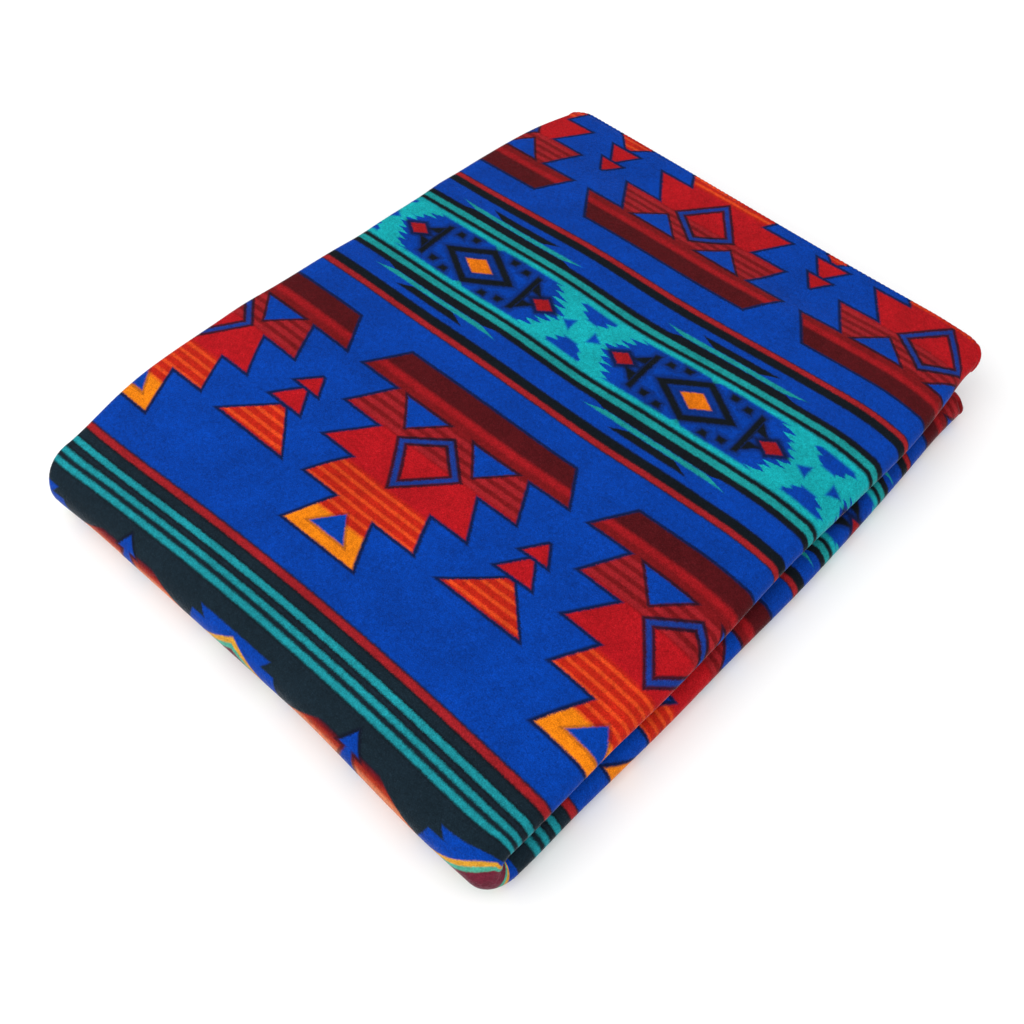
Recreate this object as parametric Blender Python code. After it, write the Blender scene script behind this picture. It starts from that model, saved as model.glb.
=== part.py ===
# Folded fleece blanket. Metres, +Z up, origin at the middle of the underside.
#
# The blanket is one sheet of fleece. It is folded into quarters along its stripes, which gives a strip of four layers
# with a double nose on the right (+X) and a single fold on the left (-X). The strip is then folded in half, so eight
# layers lie on each other, with the half fold at the front (-Y) and the hems at the back (+Y).

import math

import bpy
import bmesh

# Driving dimensions
CLOTH_THICKNESS = 0.0030        # fleece with its pile, pressed by its own weight
LAYER_PITCH = 0.0048            # from one layer to the next
HALF_GAP = 0.0010               # from the middle plane of the half fold to the first layer's place
LAYERS_IN_STRIP = 4
HEM_STEPS_BACK = {1: 0.007, 2: 0.003}   # how far the two hemmed layers stop short of the left fold

# Outline seen from above. Each row: distance along Y, left fold, upper nose, lower nose.
OUTLINE_ROWS = (
    (-0.220, -0.1610, 0.1535, 0.1580),
    (-0.190, -0.1700, 0.1560, 0.1608),
    (-0.160, -0.1770, 0.1575, 0.1625),
    (-0.130, -0.1795, 0.1590, 0.1650),
    (-0.090, -0.1790, 0.1622, 0.1682),
    (-0.040, -0.1765, 0.1645, 0.1712),
    (0.020, -0.1740, 0.1660, 0.1755),
    (0.080, -0.1715, 0.1705, 0.1780),
    (0.140, -0.1695, 0.1745, 0.1792),
    (0.190, -0.1650, 0.1735, 0.1792),
    (0.225, -0.1560, 0.1700, 0.1785),
)
LEFT_FOLD, UPPER_NOSE, LOWER_NOSE = 1, 2, 3   # columns of the outline rows

# Half fold at the front: where its axis lies, and how far it bulges out towards the right end
FOLD_AXIS_Y = -0.2005
FOLD_BULGE = 0.0050
FOLD_BULGE_START_X = 0.020
FOLD_BULGE_END_X = 0.130

# Hemmed ends at the back: Y at the left fold and at the nose
UPPER_END_Y = (0.2258, 0.2118)
LOWER_END_Y = (0.2050, 0.1880)
CORNER_REACH = 0.015            # a corner starts to round this far from the side
CORNER_DROP = 0.010             # and falls back this much at the side itself
UPPER_HEM_STEPS = (0.0045, 0.0065, 0.0030, 0.0)   # how far each layer's hem stops short, layers 1 to 4
LOWER_HEM_STEPS = (0.0060, 0.0020, 0.0, 0.0035)

# Soft swells of the top. Each row: centre x, centre y, half length x, half length y, height.
SWELL_ROWS = (
    (-0.150, -0.060, 0.060, 0.130, 0.0030),
    (0.135, 0.020, 0.060, 0.160, 0.0022),
    (-0.020, -0.130, 0.110, 0.060, -0.0018),
    (-0.060, 0.130, 0.090, 0.070, 0.0016),
    (0.060, 0.195, 0.160, 0.040, -0.0024),
)

# Steps of the mesh
RUN_STEPS = 9                   # along each layer
NOSE_STEPS = 10                 # round the outer nose
TURN_STEPS = 6                  # round the inner nose and round the left fold
LENGTH_STEPS = 11               # from the half fold to the hems, in each half
HALF_FOLD_STEPS = 10

BLANKET_BLUE = (0.010, 0.065, 0.330, 1.0)


def clear_scene():
    for old in list(bpy.data.objects):
        bpy.data.objects.remove(old, do_unlink=True)


def layer_level(number):
    """Distance of a layer's middle from the middle plane of the half fold; layer 1 is innermost."""
    return HALF_GAP + (number - 0.5) * LAYER_PITCH


MIDDLE_HEIGHT = layer_level(LAYERS_IN_STRIP) + CLOTH_THICKNESS / 2
NOSE_RADIUS = 1.5 * LAYER_PITCH      # outer nose, from layer 1 to layer 4
TURN_RADIUS = 0.5 * LAYER_PITCH      # inner nose and left fold, between neighbouring layers


def smooth_step(value):
    value = min(1.0, max(0.0, value))
    return value * value * (3.0 - 2.0 * value)


def outline(y, column):
    """Value of one outline column at y, on a smooth curve through the rows."""
    rows = OUTLINE_ROWS
    y = min(rows[-1][0], max(rows[0][0], y))
    index = 0
    while index < len(rows) - 2 and y > rows[index + 1][0]:
        index += 1
    before, start = rows[max(index - 1, 0)], rows[index]
    end, after = rows[index + 1], rows[min(index + 2, len(rows) - 1)]
    span = end[0] - start[0]
    share = (y - start[0]) / span
    slope_start = (end[column] - before[column]) / (end[0] - before[0]) * span
    slope_end = (after[column] - start[column]) / (after[0] - start[0]) * span
    rise = end[column] - start[column]
    return (start[column] + share * slope_start
            + share ** 2 * (3 * rise - 2 * slope_start - slope_end)
            + share ** 3 * (slope_start + slope_end - 2 * rise))


def strip_section():
    """Middle line of the four-layer strip, cut across.

    Each station is (fraction from the left fold to the nose, offset along X, level, normal along X, normal in level).
    The normal points out of the printed side.
    """
    stations = []

    def run(number, start, end, towards_nose):
        for step in range(RUN_STEPS + 1):
            fraction = start + (end - start) * step / RUN_STEPS
            inset = HEM_STEPS_BACK.get(number, 0.0) * (1.0 - fraction)
            printed = -1.0 if towards_nose else 1.0
            stations.append((fraction, inset, layer_level(number), 0.0, printed))

    def turn(fraction, radius, level_from, level_to, side, steps, printed_outside):
        centre = (level_from + level_to) / 2
        way = 1.0 if level_to > level_from else -1.0
        for step in range(1, steps):
            angle = math.pi * step / steps
            out_x = side * math.sin(angle)
            out_level = -way * math.cos(angle)
            sign = 1.0 if printed_outside else -1.0
            stations.append((fraction, radius * out_x, centre + radius * out_level, sign * out_x, sign * out_level))

    run(1, 0.0, 1.0, True)
    turn(1.0, NOSE_RADIUS, layer_level(1), layer_level(4), 1.0, NOSE_STEPS, True)
    run(4, 1.0, 0.0, False)
    turn(0.0, TURN_RADIUS, layer_level(4), layer_level(3), -1.0, TURN_STEPS, True)
    run(3, 0.0, 1.0, True)
    turn(1.0, TURN_RADIUS, layer_level(3), layer_level(2), 1.0, TURN_STEPS, False)
    run(2, 1.0, 0.0, False)
    return stations


def strip_length():
    """Stations along the strip: (half, amount). The amount runs from 0 at the half fold to 1 at the hems."""
    lower = [("lower", 1.0 - step / LENGTH_STEPS) for step in range(LENGTH_STEPS)]
    fold = [("fold", -math.pi / 2 + math.pi * step / HALF_FOLD_STEPS) for step in range(HALF_FOLD_STEPS + 1)]
    upper = [("upper", (step + 1) / LENGTH_STEPS) for step in range(LENGTH_STEPS)]
    return lower + fold + upper


def fold_axis(x):
    share = (x - FOLD_BULGE_START_X) / (FOLD_BULGE_END_X - FOLD_BULGE_START_X)
    return FOLD_AXIS_Y - FOLD_BULGE * smooth_step(share)


def hem_step(level, steps):
    """How far the hem stops short at this level, on straight lines between the layers."""
    place_in_strip = (level - layer_level(1)) / LAYER_PITCH
    place_in_strip = min(LAYERS_IN_STRIP - 1.0, max(0.0, place_in_strip))
    below = min(int(place_in_strip), LAYERS_IN_STRIP - 2)
    return steps[below] + (steps[below + 1] - steps[below]) * (place_in_strip - below)


def end_line(x, left, nose, level, ends, steps):
    """Y of a hemmed end at x, with its two corners rounded off."""
    share = (x - left) / (nose - left)
    from_side = max(0.0, min(x - left, nose - x))
    corner = max(0.0, 1.0 - from_side / CORNER_REACH)
    return ends[0] + (ends[1] - ends[0]) * share - CORNER_DROP * corner ** 2 - hem_step(level, steps)


def swell(x, y):
    total = 0.0
    for centre_x, centre_y, half_x, half_y, height in SWELL_ROWS:
        away = ((x - centre_x) / half_x) ** 2 + ((y - centre_y) / half_y) ** 2
        total += height * math.exp(-away)
    return total


def place(fraction, offset, level, half, amount):
    """A point of the section, carried to its place along the strip."""
    if half == "fold":
        upper_share = (1.0 + math.sin(amount)) / 2
        rough_y = FOLD_AXIS_Y - level * math.cos(amount)
    else:
        upper_share = 1.0 if half == "upper" else 0.0
        middle_end_y = sum(UPPER_END_Y if half == "upper" else LOWER_END_Y) / 2
        rough_y = FOLD_AXIS_Y + amount * (middle_end_y - FOLD_AXIS_Y)
    left = outline(rough_y, LEFT_FOLD)
    nose = outline(rough_y, LOWER_NOSE) * (1.0 - upper_share) + outline(rough_y, UPPER_NOSE) * upper_share
    left_centre = left + TURN_RADIUS + CLOTH_THICKNESS / 2
    nose_centre = nose - NOSE_RADIUS - CLOTH_THICKNESS / 2
    x = left_centre + fraction * (nose_centre - left_centre) + offset
    axis_y = fold_axis(x)
    if half == "fold":
        return x, axis_y - level * math.cos(amount), MIDDLE_HEIGHT + level * math.sin(amount)
    if half == "upper":
        end_y = end_line(x, left, nose, level, UPPER_END_Y, UPPER_HEM_STEPS)
    else:
        end_y = end_line(x, left, nose, level, LOWER_END_Y, LOWER_HEM_STEPS)
    y = axis_y + amount * (end_y - axis_y)
    if half == "lower":
        return x, y, MIDDLE_HEIGHT - level
    share_of_swell = smooth_step(amount * LENGTH_STEPS / 2) * level / layer_level(LAYERS_IN_STRIP)
    return x, y, MIDDLE_HEIGHT + level + swell(x, y) * share_of_swell


def fleece_material():
    material = bpy.data.materials.new("printed_fleece")
    material.use_nodes = True
    shader = material.node_tree.nodes["Principled BSDF"]
    shader.inputs["Base Color"].default_value = BLANKET_BLUE
    shader.inputs["Roughness"].default_value = 0.95
    shader.inputs["Metallic"].default_value = 0.0
    return material


def make_blanket():
    section = strip_section()
    length = strip_length()
    mesh = bmesh.new()
    skins = []
    for side in (1.0, -1.0):
        skin = []
        for half, amount in length:
            line = []
            for fraction, offset, level, normal_x, normal_level in section:
                push = side * CLOTH_THICKNESS / 2
                spot = place(fraction, offset + push * normal_x, level + push * normal_level, half, amount)
                line.append(mesh.verts.new(spot))
            skin.append(line)
        skins.append(skin)
    printed, back = skins
    last_row, last_column = len(length) - 1, len(section) - 1
    for row in range(last_row):
        for column in range(last_column):
            for skin in skins:
                mesh.faces.new((skin[row][column], skin[row][column + 1],
                                skin[row + 1][column + 1], skin[row + 1][column]))
    for row in range(last_row):
        for column in (0, last_column):
            mesh.faces.new((printed[row][column], printed[row + 1][column],
                            back[row + 1][column], back[row][column]))
    for column in range(last_column):
        for row in (0, last_row):
            mesh.faces.new((printed[row][column], printed[row][column + 1],
                            back[row][column + 1], back[row][column]))
    bmesh.ops.recalc_face_normals(mesh, faces=mesh.faces)
    bmesh.ops.triangulate(mesh, faces=mesh.faces)
    data = bpy.data.meshes.new("fleece_blanket")
    mesh.to_mesh(data)
    mesh.free()
    data.shade_smooth()
    data.materials.append(fleece_material())
    blanket = bpy.data.objects.new("fleece_blanket", data)
    bpy.context.scene.collection.objects.link(blanket)
    return blanket


clear_scene()
make_blanket()
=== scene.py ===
# %% [markdown]
# # A folded fleece blanket
# The real thing is one cut piece of printed fleece with an overlocked edge. It is folded into quarters
# along its stripes and then in half, so eight soft layers lie on each other. This lesson loads the packed
# model of the folded cloth, lays a finer sheet of fleece on the same folds, stitches its edge, gives it a
# pile and prints it.

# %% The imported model
import math

import bmesh
import bpy
import numpy as np
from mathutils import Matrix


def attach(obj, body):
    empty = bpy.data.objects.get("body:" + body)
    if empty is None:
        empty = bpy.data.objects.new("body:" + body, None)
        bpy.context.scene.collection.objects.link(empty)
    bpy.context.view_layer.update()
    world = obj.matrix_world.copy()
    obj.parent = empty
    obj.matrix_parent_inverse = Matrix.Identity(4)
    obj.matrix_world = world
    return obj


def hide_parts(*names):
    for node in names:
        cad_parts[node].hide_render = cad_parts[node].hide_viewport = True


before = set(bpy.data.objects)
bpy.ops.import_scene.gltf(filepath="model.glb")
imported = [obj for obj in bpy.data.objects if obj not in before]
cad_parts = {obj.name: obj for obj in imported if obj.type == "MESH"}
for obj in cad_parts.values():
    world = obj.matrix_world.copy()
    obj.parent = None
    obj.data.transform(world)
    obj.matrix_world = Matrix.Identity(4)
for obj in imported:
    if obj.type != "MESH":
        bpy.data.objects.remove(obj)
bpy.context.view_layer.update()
CAD_NODE = "fleece_blanket"

# %% [markdown]
# ## Camera, floor and light
# The photograph looks down on a corner of the stack. Its view was worked out from the print, whose straight
# lines and even repeats work like graph paper. The floor is plain and pale. Two large soft lamps and a
# bright sky stand for the white studio, with the stronger lamp at the front left, where the blue looks
# brightest.

# %% Camera
LENS_MM = 37.65
SENSOR_MM = 36.0
CAMERA_PLACE = (0.2386, -0.3265, 0.4992)
CAMERA_TURN_DEG = (34.93, -1.97, 40.85)      # tilt away from straight down, roll, turn about the vertical

camera_data = bpy.data.cameras.new("camera")
camera_data.lens = LENS_MM
camera_data.sensor_width = SENSOR_MM
camera_data.clip_start = 0.01
camera = bpy.data.objects.new("camera", camera_data)
camera.location = CAMERA_PLACE
camera.rotation_euler = [math.radians(angle) for angle in CAMERA_TURN_DEG]
bpy.context.scene.collection.objects.link(camera)
bpy.context.scene.camera = camera
print("camera at", CAMERA_PLACE)


# %% Colours and nodes
def linear(hex_colour):
    """sRGB hex, such as #1546A8, as a linear colour with alpha 1."""
    parts = [int(hex_colour[place:place + 2], 16) / 255 for place in (1, 3, 5)]
    lit = [part / 12.92 if part <= 0.04045 else ((part + 0.055) / 1.055) ** 2.4 for part in parts]
    return tuple(lit) + (1.0,)


def add(tree, kind, inputs=None, **settings):
    """Add a node with its settings. An input is linked where it is a socket, and set where it is a value."""
    node = tree.nodes.new(kind)
    for name, value in settings.items():
        setattr(node, name, value)
    for name, value in (inputs or {}).items():
        if isinstance(value, bpy.types.NodeSocket):
            tree.links.new(value, node.inputs[name])
        else:
            node.inputs[name].default_value = value
    return node.outputs[0]


# %% Floor, sky and lamps
FLOOR_SIZE = 30.0
FLOOR_PAINT = "#F6F6F6"
SKY_STRENGTH = 0.90
LAMPS = (
    # name, place, size, watts
    ("key_lamp", (-0.55, -0.80, 0.90), 1.6, 11.0),
    ("fill_lamp", (1.10, -0.10, 0.95), 1.6, 4.5),
)

bpy.ops.object.select_all(action="DESELECT")
bpy.ops.mesh.primitive_plane_add(size=FLOOR_SIZE)
floor = bpy.context.object
floor.name = "floor"
floor_material = bpy.data.materials.new("matt_white_paint")
floor_material.use_nodes = True
floor_shader = floor_material.node_tree.nodes["Principled BSDF"]
floor_shader.inputs["Base Color"].default_value = linear(FLOOR_PAINT)
floor_shader.inputs["Roughness"].default_value = 0.9
floor.data.materials.append(floor_material)

sky = bpy.data.worlds.new("studio_sky")
sky.use_nodes = True
sky.node_tree.nodes["Background"].inputs["Color"].default_value = (1.0, 1.0, 1.0, 1.0)
sky.node_tree.nodes["Background"].inputs["Strength"].default_value = SKY_STRENGTH
bpy.context.scene.world = sky
bpy.context.scene.view_settings.view_transform = "Standard"

for lamp_name, lamp_place, lamp_size, watts in LAMPS:
    lamp_data = bpy.data.lights.new(lamp_name, "AREA")
    lamp_data.size = lamp_size
    lamp_data.energy = watts
    lamp = bpy.data.objects.new(lamp_name, lamp_data)
    lamp.location = lamp_place
    aim = -np.array(lamp_place)
    flat_reach = math.hypot(aim[0], aim[1])
    lamp.rotation_euler = (math.atan2(flat_reach, -aim[2]), 0.0, math.atan2(aim[1], aim[0]) - math.pi / 2)
    bpy.context.scene.collection.objects.link(lamp)
print("lamps:", len(LAMPS))

# %% [markdown]
# ## The folded sheet
# Folded cloth is easiest to place with two numbers: how far along the fold a point is, and how far from the
# middle plane of the stack. The strip of four layers is drawn first as a line in cross-section, with a
# double nose at +X and a single fold at -X. That section is then carried along the blanket, over the half
# fold at the front and back again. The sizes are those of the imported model, so the fine sheet lies where
# its solid lies.

# %% Sizes of the cloth and its folds
CLOTH_THICKNESS = 0.0030
LAYER_PITCH = 0.0048
HALF_GAP = 0.0010
LAYERS_IN_STRIP = 4
HEM_STEPS_BACK = {1: 0.007, 2: 0.003}

OUTLINE_ROWS = np.array((
    # y, left fold, upper nose, lower nose
    (-0.220, -0.1610, 0.1535, 0.1580),
    (-0.190, -0.1700, 0.1560, 0.1608),
    (-0.160, -0.1770, 0.1575, 0.1625),
    (-0.130, -0.1795, 0.1590, 0.1650),
    (-0.090, -0.1790, 0.1622, 0.1682),
    (-0.040, -0.1765, 0.1645, 0.1712),
    (0.020, -0.1740, 0.1660, 0.1755),
    (0.080, -0.1715, 0.1705, 0.1780),
    (0.140, -0.1695, 0.1745, 0.1792),
    (0.190, -0.1650, 0.1735, 0.1792),
    (0.225, -0.1560, 0.1700, 0.1785),
))
LEFT_FOLD, UPPER_NOSE, LOWER_NOSE = 1, 2, 3

FOLD_AXIS_Y = -0.2005
FOLD_BULGE = 0.0050
FOLD_BULGE_START_X = 0.020
FOLD_BULGE_END_X = 0.130
UPPER_END_Y = (0.2260, 0.2135)
LOWER_END_Y = (0.2060, 0.1905)
CORNER_REACH = 0.015
CORNER_DROP = 0.010
UPPER_HEM_STEPS = (0.0045, 0.0065, 0.0030, 0.0)
LOWER_HEM_STEPS = (0.0060, 0.0020, 0.0, 0.0035)

SWELL_ROWS = (
    # centre x, centre y, half length x, half length y, height
    (-0.150, -0.060, 0.060, 0.130, 0.0030),
    (0.135, 0.020, 0.060, 0.160, 0.0022),
    (-0.020, -0.130, 0.110, 0.060, -0.0018),
    (-0.060, 0.130, 0.090, 0.070, 0.0016),
    (0.060, 0.195, 0.160, 0.040, -0.0024),
)


def layer_level(number):
    """Distance of a layer's middle from the middle plane of the half fold; layer 1 is innermost."""
    return HALF_GAP + (number - 0.5) * LAYER_PITCH


TOP_LEVEL = layer_level(LAYERS_IN_STRIP)
MIDDLE_HEIGHT = TOP_LEVEL + CLOTH_THICKNESS / 2
NOSE_RADIUS = 1.5 * LAYER_PITCH
TURN_RADIUS = 0.5 * LAYER_PITCH
print("stack height, mm:", round(2000 * MIDDLE_HEIGHT, 1))

# %% [markdown]
# ### Soft creases
# Fleece is springy, so a folded blanket has no sharp creases on top, only long shallow troughs and ridges.
# They are listed here, each as a line with a width and a height, and they die away towards their
# ends. The layers below follow them less and less.

# %% Creases of the top
CREASE_ROWS = (
    # from x, from y, to x, to y, half width, height
    (-0.165, 0.095, -0.020, 0.062, 0.013, 0.0009),
    (-0.165, 0.025, -0.060, 0.045, 0.016, -0.0010),
    (-0.165, -0.070, -0.060, -0.110, 0.018, 0.0011),
    (-0.150, -0.165, -0.020, -0.150, 0.016, -0.0009),
    (0.030, 0.060, 0.150, 0.085, 0.015, 0.0009),
    (0.060, -0.020, 0.155, -0.045, 0.018, -0.0010),
    (0.090, -0.110, 0.150, -0.170, 0.015, 0.0010),
    (-0.090, 0.190, 0.060, 0.170, 0.014, -0.0009),
    (0.050, 0.150, 0.165, 0.170, 0.013, 0.0008),
    (0.000, -0.060, 0.070, 0.020, 0.022, -0.0008),
)


def swell(x, y):
    total = np.zeros_like(x)
    for centre_x, centre_y, half_x, half_y, height in SWELL_ROWS:
        total += height * np.exp(-((x - centre_x) / half_x) ** 2 - ((y - centre_y) / half_y) ** 2)
    return total


def creases(x, y):
    total = np.zeros_like(x)
    for from_x, from_y, to_x, to_y, half_width, height in CREASE_ROWS:
        run_x, run_y = to_x - from_x, to_y - from_y
        length = math.hypot(run_x, run_y)
        along = ((x - from_x) * run_x + (y - from_y) * run_y) / length
        across = ((x - from_x) * run_y - (y - from_y) * run_x) / length
        past_end = np.maximum(0.0, np.maximum(-along, along - length))
        total += height * np.exp(-(across / half_width) ** 2 - (past_end / (2 * half_width)) ** 2)
    return total


# %% Shoulder and corners
SHOULDER_REACH = 0.030          # the top starts to fall this far before the nose
SHOULDER_AT_FOLD = 0.35         # share of the fall that is left at the half fold
RELIEF_GROWS_WITHIN = 1 / 6     # swells and creases grow over this share of the way from the half fold
SHOULDER_DROP = 0.0034
CORNER_FLARES = (
    # part, centre x, centre y, half length, push x, push y
    (2, 0.176, 0.216, 0.020, 0.0062, 0.0030),
    (0, 0.176, 0.190, 0.022, 0.0030, 0.0036),
    (2, -0.158, -0.212, 0.020, -0.0030, -0.0010),
    (1, -0.158, -0.212, 0.020, -0.0034, -0.0016),
)


def shoulder(x, nose):
    """Height lost near the double nose, where the cloth on top rolls down early."""
    near = np.clip(1.0 - (nose - x) / SHOULDER_REACH, 0.0, 1.0)
    return -SHOULDER_DROP * near ** 2


def flare(points, part):
    """Push the corners that stick out, as one tugs a folded corner."""
    moved = points.copy()
    for flared_part, centre_x, centre_y, half, push_x, push_y in CORNER_FLARES:
        near = np.exp(-((points[..., 0] - centre_x) / half) ** 2 - ((points[..., 1] - centre_y) / half) ** 2)
        near = np.where(part == flared_part, near, 0.0)
        moved[..., 0] += push_x * near
        moved[..., 1] += push_y * near
    return moved


# %% The section of the strip
RUN_STEPS = {1: 16, 2: 16, 3: 16, 4: 150}
NOSE_STEPS = 16
TURN_STEPS = 8


def strip_section():
    """Middle line of the strip: fraction from fold to nose, offset in X, level, way of the printed side."""
    stations = []

    def run(number, start, end, towards_nose):
        steps = RUN_STEPS[number]
        for step in range(steps + 1):
            fraction = start + (end - start) * step / steps
            inset = HEM_STEPS_BACK.get(number, 0.0) * (1.0 - fraction)
            stations.append((fraction, inset, layer_level(number), 0.0, -1.0 if towards_nose else 1.0))

    def turn(fraction, radius, level_from, level_to, side, steps, printed_outside):
        centre = (level_from + level_to) / 2
        way = 1.0 if level_to > level_from else -1.0
        sign = 1.0 if printed_outside else -1.0
        for step in range(1, steps):
            angle = math.pi * step / steps
            out_x = side * math.sin(angle)
            out_level = -way * math.cos(angle)
            stations.append((fraction, radius * out_x, centre + radius * out_level,
                             sign * out_x, sign * out_level))

    run(1, 0.0, 1.0, True)
    turn(1.0, NOSE_RADIUS, layer_level(1), layer_level(4), 1.0, NOSE_STEPS, True)
    first_top_station = len(stations)
    run(4, 1.0, 0.0, False)
    turn(0.0, TURN_RADIUS, layer_level(4), layer_level(3), -1.0, TURN_STEPS, True)
    run(3, 0.0, 1.0, True)
    turn(1.0, TURN_RADIUS, layer_level(3), layer_level(2), 1.0, TURN_STEPS, False)
    run(2, 1.0, 0.0, False)
    return np.array(stations), first_top_station


SECTION, FIRST_TOP_STATION = strip_section()
print("stations across:", len(SECTION))

# %% The way along the strip
LOWER_STEPS = 34
FOLD_STEPS = 20
UPPER_STEPS = 128
EDGE_ROUND = 0.0016             # the cut edge rounds off over this length
EDGE_SHARES = (0.0, 0.10, 0.35, 0.70)
IN_LOWER, IN_FOLD, IN_UPPER = 0, 1, 2


def strip_rows():
    """Rows along the strip: which part, the amount, and the distance left to the hem."""
    rows = []
    for share in EDGE_SHARES:
        rows.append((IN_LOWER, 1.0, share * EDGE_ROUND))
    for step in range(1, LOWER_STEPS + 1):
        rows.append((IN_LOWER, 1.0 - step / (LOWER_STEPS + 1), math.inf))
    for step in range(FOLD_STEPS + 1):
        rows.append((IN_FOLD, -math.pi / 2 + math.pi * step / FOLD_STEPS, math.inf))
    for step in range(1, UPPER_STEPS + 1):
        rows.append((IN_UPPER, step / (UPPER_STEPS + 1), math.inf))
    for share in reversed(EDGE_SHARES):
        rows.append((IN_UPPER, 1.0, share * EDGE_ROUND))
    return np.array(rows)


ROWS = strip_rows()
print("rows along:", len(ROWS))


# %% Outline, half fold and hems
def smooth_step(value):
    value = np.clip(value, 0.0, 1.0)
    return value * value * (3.0 - 2.0 * value)


def outline(y, column):
    """Value of one outline column at y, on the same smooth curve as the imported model's."""
    table = OUTLINE_ROWS
    y = np.clip(y, table[0, 0], table[-1, 0])
    index = np.clip(np.searchsorted(table[:, 0], y, side="left") - 1, 0, len(table) - 2)
    before = table[np.maximum(index - 1, 0)]
    start, end = table[index], table[index + 1]
    after = table[np.minimum(index + 2, len(table) - 1)]
    span = end[..., 0] - start[..., 0]
    share = (y - start[..., 0]) / span
    slope_start = (end[..., column] - before[..., column]) / (end[..., 0] - before[..., 0]) * span
    slope_end = (after[..., column] - start[..., column]) / (after[..., 0] - start[..., 0]) * span
    rise = end[..., column] - start[..., column]
    return (start[..., column] + share * slope_start
            + share ** 2 * (3 * rise - 2 * slope_start - slope_end)
            + share ** 3 * (slope_start + slope_end - 2 * rise))


def fold_axis(x):
    share = (x - FOLD_BULGE_START_X) / (FOLD_BULGE_END_X - FOLD_BULGE_START_X)
    return FOLD_AXIS_Y - FOLD_BULGE * smooth_step(share)


def end_line(x, left, nose, level, ends, steps):
    share = (x - left) / (nose - left)
    from_side = np.maximum(0.0, np.minimum(x - left, nose - x))
    corner = np.maximum(0.0, 1.0 - from_side / CORNER_REACH)
    levels = [layer_level(number) for number in range(1, LAYERS_IN_STRIP + 1)]
    return ends[0] + (ends[1] - ends[0]) * share - CORNER_DROP * corner ** 2 - np.interp(level, levels, steps)


def place(fraction, offset, level, part, amount, from_hem):
    """Carry points of the section to their places along the strip."""
    fraction, offset, level, part, amount, from_hem = np.broadcast_arrays(
        fraction, offset, level, part, amount, from_hem)
    folding, upper = part == IN_FOLD, part == IN_UPPER
    turn = np.where(folding, amount, 0.0)
    upper_share = np.where(folding, (1.0 + np.sin(turn)) / 2, np.where(upper, 1.0, 0.0))
    middle_end = np.where(upper, sum(UPPER_END_Y) / 2, sum(LOWER_END_Y) / 2)
    rough_y = np.where(folding, FOLD_AXIS_Y - level * np.cos(turn),
                       FOLD_AXIS_Y + amount * (middle_end - FOLD_AXIS_Y))
    left = outline(rough_y, LEFT_FOLD)
    nose = outline(rough_y, LOWER_NOSE) * (1.0 - upper_share) + outline(rough_y, UPPER_NOSE) * upper_share
    left_centre = left + TURN_RADIUS + CLOTH_THICKNESS / 2
    nose_centre = nose - NOSE_RADIUS - CLOTH_THICKNESS / 2
    x = left_centre + fraction * (nose_centre - left_centre) + offset
    axis_y = fold_axis(x)
    end_y = np.where(upper, end_line(x, left, nose, level, UPPER_END_Y, UPPER_HEM_STEPS),
                     end_line(x, left, nose, level, LOWER_END_Y, LOWER_HEM_STEPS))
    from_hem = np.where(np.isinf(from_hem), EDGE_ROUND, from_hem)
    straight_y = axis_y + amount * (end_y - EDGE_ROUND - axis_y) + EDGE_ROUND - from_hem
    straight_y = np.where(amount < 1.0, axis_y + amount * (end_y - EDGE_ROUND - axis_y), straight_y)
    y = np.where(folding, axis_y - level * np.cos(turn), straight_y)
    relief = level / TOP_LEVEL
    grow = smooth_step(np.where(upper, amount / RELIEF_GROWS_WITHIN, 0.0))
    lift = grow * relief * (swell(x, y) + creases(x, y) * relief ** 2)
    fall = np.where(upper, SHOULDER_AT_FOLD + (1.0 - SHOULDER_AT_FOLD) * grow, SHOULDER_AT_FOLD * upper_share)
    lift = lift + fall * relief * shoulder(x, nose - NOSE_RADIUS - CLOTH_THICKNESS / 2)
    z = np.where(folding, MIDDLE_HEIGHT + level * np.sin(turn) + lift * np.sin(turn),
                 np.where(upper, MIDDLE_HEIGHT + level + lift, MIDDLE_HEIGHT - level))
    return flare(np.stack((x, y, z), axis=-1), part)
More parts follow.
